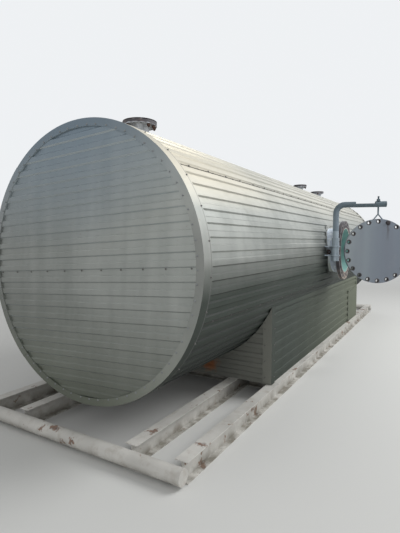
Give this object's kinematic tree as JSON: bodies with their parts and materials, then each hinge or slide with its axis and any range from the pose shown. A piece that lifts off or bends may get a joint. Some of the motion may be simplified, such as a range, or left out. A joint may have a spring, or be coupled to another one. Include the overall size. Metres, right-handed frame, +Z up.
{
  "type": "horizontal pressure vessel",
  "caption": "Insulated horizontal pressure vessel in ribbed cladding on a skid, with blanked top nozzles and an open side manway whose cover hangs from a swing davit.",
  "frame": {"origin": "on the floor under the vessel axis, midway between the two ends, at the underside of the skid", "axes": "+X to the manway side, +Y along the vessel from the pictured end to the far end, +Z up"},
  "size_m": [3.2719, 8.0538, 2.717],
  "materials": {
    "vessel_steel": "lined inside, dull",
    "mineral_wool": "soft",
    "clad_sheet": "weathered mill finish",
    "trim_sheet": "weathered smooth sheet",
    "skid_paint": "chalky white paint, worn",
    "saddle_paint": "matt primer",
    "nozzle_rust": "rusted",
    "gasket": "matt, stained",
    "manway_paint": "matt grey-blue primer",
    "davit_paint": "satin grey-blue paint"
  },
  "bodies": {
    "vessel": {"shell_course_front": "vessel_steel", "shell_course_middle": "vessel_steel", "shell_course_rear": "vessel_steel", "head_front": "vessel_steel", "head_rear": "vessel_steel", "shell_insulation": "mineral_wool", "head_insulation": "mineral_wool", "cladding_sheet_crown": "clad_sheet", "cladding_sheet_left_upper": "clad_sheet", "cladding_sheet_left_lower": "clad_sheet", "cladding_sheet_belly": "clad_sheet", "cladding_sheet_right_lower": "clad_sheet", "cladding_sheet_right_upper": "clad_sheet", "end_sheet_front_upper": "clad_sheet", "end_sheet_front_lower": "clad_sheet", "end_sheet_rear_upper": "clad_sheet", "end_sheet_rear_lower": "clad_sheet", "rim_flashing_front": "trim_sheet", "rim_flashing_rear": "trim_sheet", "box_wall_right": "clad_sheet", "box_wall_left": "clad_sheet", "box_wall_front": "clad_sheet", "box_wall_rear": "clad_sheet", "box_corner_flashings": "trim_sheet", "access_panel": "trim_sheet", "saddle_front": "saddle_paint", "saddle_rear": "saddle_paint", "skid_outer_runners": "skid_paint", "skid_inner_runners": "skid_paint", "skid_cross_members": "skid_paint", "skid_pull_pipes": "skid_paint", "nozzle_near": "nozzle_rust", "nozzle_middle": "nozzle_rust", "nozzle_far": "nozzle_rust", "blind_flange_near": "nozzle_rust", "blind_flange_middle": "nozzle_rust", "blind_flange_far": "nozzle_rust", "nozzle_gaskets": "gasket", "nozzle_collars": "trim_sheet", "manway_neck": "manway_paint", "manway_flange": "manway_paint", "manway_gasket": "gasket", "manway_collar": "trim_sheet", "davit_socket": "manway_paint"},
    "davit": {"davit_arm": "davit_paint", "cover_yoke": "davit_paint", "manway_cover": "manway_paint"}
  },
  "joints": [
    {"name": "davit_swing", "type": "hinge", "parent": "vessel", "child": "davit", "pos_m": [1.28, -0.672, 1.48], "axis": [0, 0, -1], "range_deg": [-64, 101]}
  ]
}
